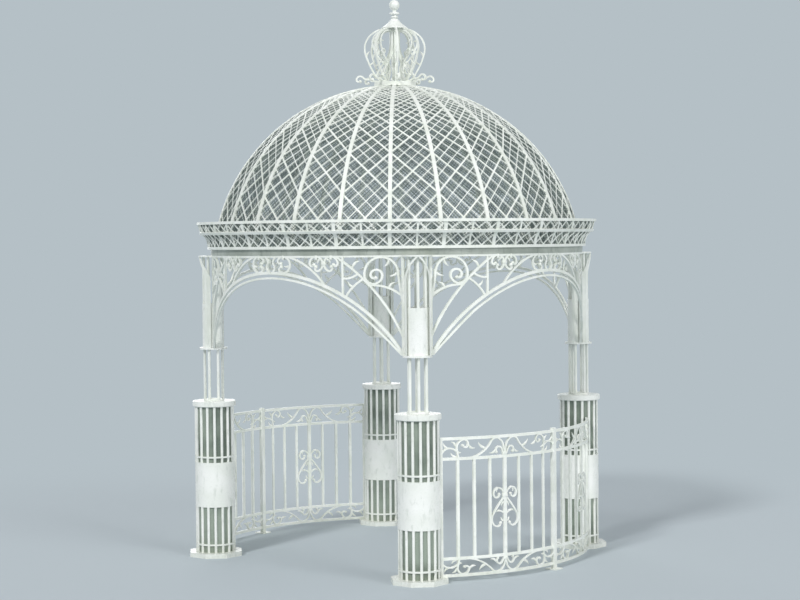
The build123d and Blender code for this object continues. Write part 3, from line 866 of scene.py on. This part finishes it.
@dataclass
class CorniceMesh:
    """Crossed wires and fine net on the double curve between the cornice hoops."""

    overhang: float = 12 * MM
    inset: float = 7 * MM
    steps: int = 9
    wire: float = 7.5 * MM
    wire_split: int = 2
    net_wire: float = 3 * MM
    net_split: int = 8

    def __post_init__(self) -> None:
        """Find the foot and head of the curve from the hoops."""
        lower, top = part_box("lower_hoop")[1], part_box("top_hoop")
        self.foot_r, self.low = lower.x, lower.z
        self.run, self.high = top[1].x - self.overhang - lower.x, top[0].z

    def radius(self, height: np.ndarray) -> np.ndarray:
        """Distance of the curve from the axis: a hollow arc to half height, then a full one alike.

        Args:
            height: Heights.

        Returns:
            Distances from the axis.
        """
        rise = self.high - self.low
        arc = rise / (2 * math.sin(2 * math.atan(self.run / rise)))
        below = np.minimum(height - self.low, rise / 2)
        above = np.minimum(self.high - height, rise / 2)
        hollow = self.foot_r + arc - np.sqrt(arc**2 - below**2)
        full = self.foot_r + self.run - arc + np.sqrt(arc**2 - above**2)
        return np.where(height < self.low + rise / 2, hollow, full) - self.inset

    def slants(self, split: int, way: Way, width: float) -> Surface:
        """Wires that rise from the lower to the top hoop over half a rib spacing.

        Args:
            split: Wires for each half spacing.
            way: Sense of the slant.
            width: Size of the wire.

        Returns:
            Vertices and quads.
        """
        height = np.linspace(self.low, self.high, self.steps)
        part = np.linspace(0, 1, self.steps)
        half = RIB_PITCH / 2
        starts = half * np.arange(2 * RIB_COUNT * split) / split
        angle = starts[:, None] + way.value * half * part[None, :]
        reach = self.radius(height)
        level = np.broadcast_to(height, angle.shape)
        lines = np.stack([reach * np.cos(angle), reach * np.sin(angle), level], -1)
        return sweep(lines, lines * LEVEL, width, width)

    def build(self, finishes: Finishes) -> list[bpy.types.Object]:
        """Make the crossed wires and the net.

        Args:
            finishes: The materials.

        Returns:
            Both pieces.
        """
        wires = joined([self.slants(self.wire_split, way, self.wire) for way in Way])
        net = joined([self.slants(self.net_split, way, self.net_wire) for way in Way])
        return [
            piece("cornice_wires", wires, finishes.get(WIRE)),
            piece("cornice_net", net, finishes.get(NET_WITH_PAINTED_SHADE)),
        ]


@dataclass
class RailingLeaves:
    """Cast leaves and balls on the railing scrollwork, and the collars that tie it.

    Each leaf row holds where it springs from its bar and where its tip is, across and up, then
    its width in millimetres and its bend. Friezes are measured in baluster steps and in parts of
    the frieze from its inner to its outer rail, hearts in parts of their own size. A tie row
    holds the height of a collar, and its half sizes across the balusters and along them.
    """

    radius: float = 1.450
    column_reach: float = 152 * MM
    baluster_count: int = 7
    foot: float = 45 * MM
    low: float = 164 * MM
    high: float = 865 * MM
    top: float = 1007 * MM
    heart_low: float = 364 * MM
    heart_size: Place = (113 * MM, 289 * MM)
    frieze_leaves: LeafRows = (
        (1.24, 0.46, 1.72, 0.76, 19, -0.14),
        (0.60, 0.40, 1.02, 0.20, 16, -0.2),
        (2.33, 0.66, 1.93, 0.50, 18, 0.2),
        (3.05, 0.40, 2.78, 0.30, 15, 0.2),
        (3.11, 0.58, 3.38, 0.84, 16, 0.18),
        (3.55, 0.54, 3.83, 0.80, 15, -0.2),
        (3.04, 0.10, 3.40, 0.30, 15, -0.2),
    )
    heart_leaves: LeafRows = (
        (0.33, 0.385, 0.66, 0.37, 16, 0.18),
        (0.09, 0.62, 0.27, 0.50, 13, 0.15),
        (0.09, 0.14, 0.30, 0.24, 14, -0.2),
        (0.53, 0.955, 0.60, 0.85, 13, 0.2),
    )
    upper_eyes: Places = ((2.683, 0.644), (0.557, 0.228))
    lower_eyes: Places = ((2.640, 0.513), (0.525, 0.150))
    heart_eyes: Places = ((0.340, 0.100), (0.430, 0.806))
    eye_r: float = 10.5 * MM
    ties: tuple[Triple, ...] = (
        (589 * MM, 18 * MM, 13 * MM), (887 * MM, 16 * MM, 8 * MM), (142 * MM, 16 * MM, 8 * MM)
    )
    tie_through: float = 9 * MM

    def leaves(self, step: float) -> list[Leaf]:
        """Leaves of the right half of a panel, drawn from its middle baluster.

        Args:
            step: Baluster spacing.

        Returns:
            The leaves.
        """
        upper = placed(self.frieze_leaves, (0.0, self.high), (step, self.top - self.high))
        lower = placed(self.frieze_leaves, (0.0, self.low), (step, self.foot - self.low))
        hearts = placed(self.heart_leaves, (0.0, self.heart_low), self.heart_size)
        return upper + [leaf.turned_over() for leaf in lower] + hearts

    def eyes(self, step: float) -> list[Place]:
        """Scroll eyes of the right half of a panel, drawn from its middle baluster.

        Args:
            step: Baluster spacing.

        Returns:
            Drawing points.
        """
        groups = (
            (self.upper_eyes, self.high, (step, self.top - self.high)),
            (self.lower_eyes, self.low, (step, self.foot - self.low)),
            (self.heart_eyes, self.heart_low, self.heart_size),
        )
        return [(x * dx, start + z * dz) for eyes, start, (dx, dz) in groups for x, z in eyes]

    def build(self, finishes: Finishes) -> list[bpy.types.Object]:
        """Lay leaves and balls on both halves of the four panels and tie each middle baluster.

        Args:
            finishes: The materials.

        Returns:
            The three pieces.
        """
        reach = math.pi / 4 - math.asin(self.column_reach / self.radius)
        step = self.radius * reach / (self.baluster_count + 1)
        leaves, eyes = self.leaves(step), self.eyes(step)
        leaves += [leaf.mirrored() for leaf in leaves]
        eyes += [(-x, z) for x, z in eyes]
        trim = Trim("railing", LeafBed(), BallSet(self.eye_r), CollarSet())
        for heading in (reach / 2, -reach / 2, math.pi + reach / 2, math.pi - reach / 2):
            wall = Wall(self.radius, heading)
            for leaf in leaves:
                trim.bed.on_wall(leaf, wall)
            for eye in eyes:
                trim.balls.on_wall(eye, wall)
            for height, half, rise in self.ties:
                centre, outward = wall.lay(np.array([0.0, height]))
                trim.ties.tie(centre, UP, np.cross(UP, outward), (half, self.tie_through, rise))
        return trim.pieces(finishes)


@dataclass
class ArchLeaves:
    """Cast leaves and balls in the arch scrolls, and collars where scrolls meet.

    Leaf and eye rows are measured in parts of the half span and of the height from the column
    collar to the rail. A scroll row holds its place along the span and its radius in parts of
    the drop.
    """

    radius: float = COLUMN_CIRCLE_R
    collar_r: float = 105 * MM
    collar_t: float = 14 * MM
    bar: float = 20 * MM
    rail_half: float = 7 * MM
    drop: float = 123 * MM
    scrolls: Places = ((0.115, 0.47), (0.385, 0.42), (0.495, 0.42))
    leaves: LeafRows = (
        (0.182, 0.915, 0.120, 0.905, 19, 0.15),
        (0.424, 0.975, 0.392, 0.925, 17, -0.2),
        (0.457, 0.975, 0.489, 0.930, 17, 0.2),
        (0.648, 0.880, 0.700, 0.955, 19, 0.16),
        (0.903, 0.975, 0.868, 0.895, 18, 0.16),
        (0.973, 0.860, 0.905, 0.800, 20, 0.16),
        (0.660, 0.690, 0.616, 0.748, 17, 0.16),
        (0.900, 0.678, 0.944, 0.735, 17, 0.16),
    )
    eyes: Places = (
        (0.0926, 0.9282), (0.0967, 0.8951), (0.3657, 0.9153), (0.3815, 0.8960),
        (0.4985, 0.8960), (0.5143, 0.9153), (0.8110, 0.7805),
    )
    eye_r: float = 13.5 * MM
    tie_half: Triple = (14 * MM, 8.5 * MM, 9 * MM)

    def build(self, finishes: Finishes) -> list[bpy.types.Object]:
        """Lay leaves, balls and collars on both halves of the four brackets.

        Args:
            finishes: The materials.

        Returns:
            The three pieces.
        """
        span = self.radius * math.pi / 4 - self.collar_r + self.bar / 2
        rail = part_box("header_hoop")[0].z - self.rail_half
        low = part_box("shaft_sleeve_front_right")[0].z + self.collar_t
        leaves = placed(self.leaves, (0.0, low), (span, rail - low))
        leaves += [leaf.mirrored() for leaf in leaves]
        trim = Trim("arch", LeafBed(), BallSet(self.eye_r), CollarSet())
        for bay in range(4):
            wall = Wall(self.radius, bay * QUARTER)
            for leaf in leaves:
                trim.bed.on_wall(leaf, wall)
            for side in (1, -1):
                self.tie(trim.ties, wall, side * span, rail)
                for x, z in self.eyes:
                    trim.balls.on_wall((side * x * span, low + z * (rail - low)), wall)
        return trim.pieces(finishes)

    def tie(self, ties: CollarSet, wall: Wall, span: float, rail: float) -> None:
        """Collars that tie each scroll to the rail, and the two that touch to each other.

        Args:
            ties: Set that takes the collars.
            wall: Wall of the bracket.
            span: Half span, below zero on the left.
            rail: Height of the rail's middle.
        """
        for part, _ in self.scrolls:
            centre, outward = wall.lay(np.array([part * span, rail - self.rail_half]))
            ties.tie(centre, np.cross(UP, outward), UP, self.tie_half)
        (first, size), (last, _) = self.scrolls[1:]
        centre, outward = wall.lay(np.array([(first + last) / 2 * span, rail - size * self.drop]))
        ties.tie(centre, UP, np.cross(UP, outward), self.tie_half)


@dataclass
class CrownLeaves:
    """Cast leaves and balls on the scrolled panels of the crown, with collars at their crossings.

    Rows are measured in parts of the belly radius and of the height from ring to bell cap. The
    bars lean to the axis at the crossings, by an angle given as its sine and cosine.
    """

    panel_count: int = 8
    belly_r: float = 227 * MM
    bar: float = 12 * MM
    leaf_thickness: float = 8 * MM
    leaves: LeafRows = (
        (0.957, 0.44, 0.850, 0.570, 16, -0.16),
        (0.755, 0.80, 0.585, 0.760, 14, 0.2),
        (0.285, 0.20, 0.430, 0.150, 13, -0.16),
        (0.855, 0.32, 0.700, 0.410, 14, 0.16),
    )
    eye: Place = (1.1836, 0.0025)
    eye_r: float = 12 * MM
    crossings: Places = ((0.385, 0.355), (0.645, 0.1))
    lean: Place = (0.6, 0.8)
    collar_thickness: float = 3 * MM
    tie_half: Triple = (12 * MM, 8 * MM, 8 * MM)

    def build(self, finishes: Finishes) -> list[bpy.types.Object]:
        """Lay the leaves, a ball and the collars on every panel.

        Args:
            finishes: The materials.

        Returns:
            The three pieces.
        """
        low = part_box("crown_ring")[1].z + self.bar / 2
        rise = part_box("crown_cap")[0].z - low
        leaves = placed(self.leaves, (0.0, low), (self.belly_r, rise))
        ties = CollarSet(self.collar_thickness)
        trim = Trim("crown", LeafBed(self.leaf_thickness), BallSet(self.eye_r), ties)
        sine, cosine = self.lean
        for angle in 2 * math.pi * np.arange(self.panel_count) / self.panel_count:
            out = np.array([math.cos(angle), math.sin(angle), 0.0])
            ball, *centres = [
                x * self.belly_r * out + (low + z * rise) * UP
                for x, z in (self.eye, *self.crossings)
            ]
            along, across = cosine * UP - sine * out, sine * UP + cosine * out
            for leaf in leaves:
                trim.bed.on_plane(leaf, angle)
            trim.balls.place(ball, out)
            for centre in centres:
                ties.tie(centre, along, across, self.tie_half)
        return trim.pieces(finishes)


# Studio


@dataclass(frozen=True)
class Lamp:
    """Broad lamp: strength, spread in degrees, and its source toward the camera, left and up."""

    name: str
    strength: float
    spread: float
    source: Triple


@dataclass
class Studio:
    """Camera at the photograph's angle, pale floor and plain soft light."""

    focal_px: float = 1897.7
    distance: float = 14.634
    azimuth: float = 39.4
    height: float = 2.4
    pitch: float = 1.813
    roll: float = -0.545
    shift_px: float = 2.8
    image_width: float = 800.0
    sensor: float = 36.0
    view_depth: float = 200.0
    backdrop: str = "#B5C0C6"
    floor_tone: str = "#C7D0D5"
    floor_radii: tuple[float, ...] = (MM, 4.0, 12.0, 30.0, 80.0)
    floor_turns: int = 96
    floor_fade: Place = (2.4, 7.0)
    sky_tone: str = "#EEF2F6"
    sky_strength: float = 0.47
    lamp_reach: float = 20.0
    lamps: tuple[Lamp, ...] = (
        Lamp("key", 1.46, 9.0, (0.85, 0.5, 0.7)),
        Lamp("fill", 1.15, 28.0, (0.75, -0.75, 0.35)),
        Lamp("back", 0.55, 34.0, (-0.9, 0.2, 0.25)),
    )

    def heading(self) -> tuple[np.ndarray, np.ndarray]:
        """Level directions of the camera.

        Returns:
            Its directions ahead and to the right, before pitch and roll.
        """
        a = math.radians(self.azimuth)
        ahead = np.array([-math.sin(a), math.cos(a), 0.0])
        return ahead, np.array([math.cos(a), math.sin(a), 0.0])

    def stand(
        self, item: bpy.types.Object, axes: tuple[np.ndarray, ...], place: np.ndarray
    ) -> None:
        """Stand a camera or lamp at a place, with its own X, Y and Z along three directions."""
        rows = np.column_stack([*axes, place]).tolist()
        item.matrix_world = Matrix([*rows, [0, 0, 0, 1]])

    def camera(self) -> None:
        """Stand the camera on the fitted line of sight."""
        ahead, level = self.heading()
        p, r = math.radians(self.pitch), math.radians(self.roll)
        look = ahead * math.cos(p) - UP * math.sin(p)
        lift = UP * math.cos(p) + ahead * math.sin(p)
        right = level * math.cos(r) + lift * math.sin(r)
        up = lift * math.cos(r) - level * math.sin(r)
        data = bpy.data.cameras.new("camera")
        data.sensor_width = self.sensor
        data.lens = self.focal_px * self.sensor / self.image_width
        data.shift_x = self.shift_px / self.image_width
        data.clip_end = self.view_depth
        item = in_scene("camera", data)
        self.stand(item, (right, up, -look), UP * self.height - ahead * self.distance)
        bpy.context.scene.camera = item

    def floor(self) -> None:
        """Large pale disc: even rings of corners, joined ring to ring."""
        count = self.floor_turns
        turn = np.linspace(0, 2 * math.pi, count, endpoint=False)
        rim = np.stack([np.cos(turn), np.sin(turn), np.zeros(count)], -1)
        points = np.array(self.floor_radii)[:, None, None] * rim
        ring, place = np.meshgrid(
            np.arange(len(self.floor_radii) - 1) * count, np.arange(count), indexing="ij"
        )
        after = (place + 1) % count
        corners = [ring + place, ring + count + place, ring + count + after, ring + after]
        disc = points.reshape(-1, 3), np.stack(corners, -1).reshape(-1, 4)
        quad_mesh("floor", disc, self.floor_material())

    def floor_material(self) -> bpy.types.Material:
        """Matt pale floor near the object and the plain backdrop colour far from it.

        Returns:
            The material.
        """
        material = bpy.data.materials.new("pale_floor")
        tree = emptied(material)
        place = add(tree, "ShaderNodeTexCoord").outputs["Object"]
        reach = add(tree, "ShaderNodeVectorMath", {"operation": "LENGTH"}, _0=place)
        near_r, far_r = self.floor_fade
        fade = {"interpolation_type": "SMOOTHSTEP", "From Min": near_r, "From Max": far_r}
        far = add(tree, "ShaderNodeMapRange", fade, Value=reach.outputs["Value"])
        near = add(tree, "ShaderNodeBsdfDiffuse", {"Color": linear(self.floor_tone)})
        plain = add(tree, "ShaderNodeEmission", {"Color": linear(self.backdrop)})
        mix = add(
            tree, "ShaderNodeMixShader", None, _0=far.outputs["Result"],
            _1=near.outputs[0], _2=plain.outputs[0],
        )
        add(tree, "ShaderNodeOutputMaterial", None, Surface=mix.outputs[0])
        return material

    def sky(self) -> None:
        """Even sky light, with the plain backdrop colour for what is seen directly or in gloss."""
        world = bpy.data.worlds.new("studio")
        bpy.context.scene.world = world
        tree = emptied(world)
        path = add(tree, "ShaderNodeLightPath")
        seen = path.outputs["Is Camera Ray"]
        for kind in ("Is Glossy Ray", "Is Transmission Ray"):
            either = {"operation": "MAXIMUM"}
            seen = add(tree, "ShaderNodeMath", either, _0=seen, _1=path.outputs[kind]).outputs[0]
        light = {"Color": linear(self.sky_tone), "Strength": self.sky_strength}
        even = add(tree, "ShaderNodeBackground", light)
        plain = add(tree, "ShaderNodeBackground", {"Color": linear(self.backdrop), "Strength": 1.0})
        mix = add(
            tree, "ShaderNodeMixShader", None, _0=seen, _1=even.outputs[0], _2=plain.outputs[0]
        )
        add(tree, "ShaderNodeOutputWorld", None, Surface=mix.outputs[0])

    def lamp(self, lamp: Lamp) -> None:
        """Hang a broad lamp by its direction from the camera's heading.

        Args:
            lamp: The lamp.
        """
        data = bpy.data.lights.new(lamp.name, "SUN")
        data.energy = lamp.strength
        data.angle = math.radians(lamp.spread)
        ahead, level = self.heading()
        toward, left, above = lamp.source
        source = unit(above * UP - toward * ahead - left * level)
        side = unit(np.cross(UP, source))
        axes = side, np.cross(source, side), source
        self.stand(in_scene(lamp.name, data), axes, source * self.lamp_reach)

    def build(self) -> None:
        """Set up the view, the floor and the lights."""
        bpy.context.scene.view_settings.view_transform = "Standard"
        self.camera()
        self.floor()
        self.sky()
        for lamp in self.lamps:
            self.lamp(lamp)


def main() -> None:
    """Dress the CAD nodes, build every sub-assembly and set up the studio."""
    finishes = Finishes()
    finishes.dress(frame["nodes"])
    for assembly in (DomeMesh(), CorniceMesh(), RailingLeaves(), ArchLeaves(), CrownLeaves()):
        for made in assembly.build(finishes):
            LOG.info("%s: %d faces", made.name, len(made.data.polygons))
    Studio().build()


if __name__ == "__main__":
    main()
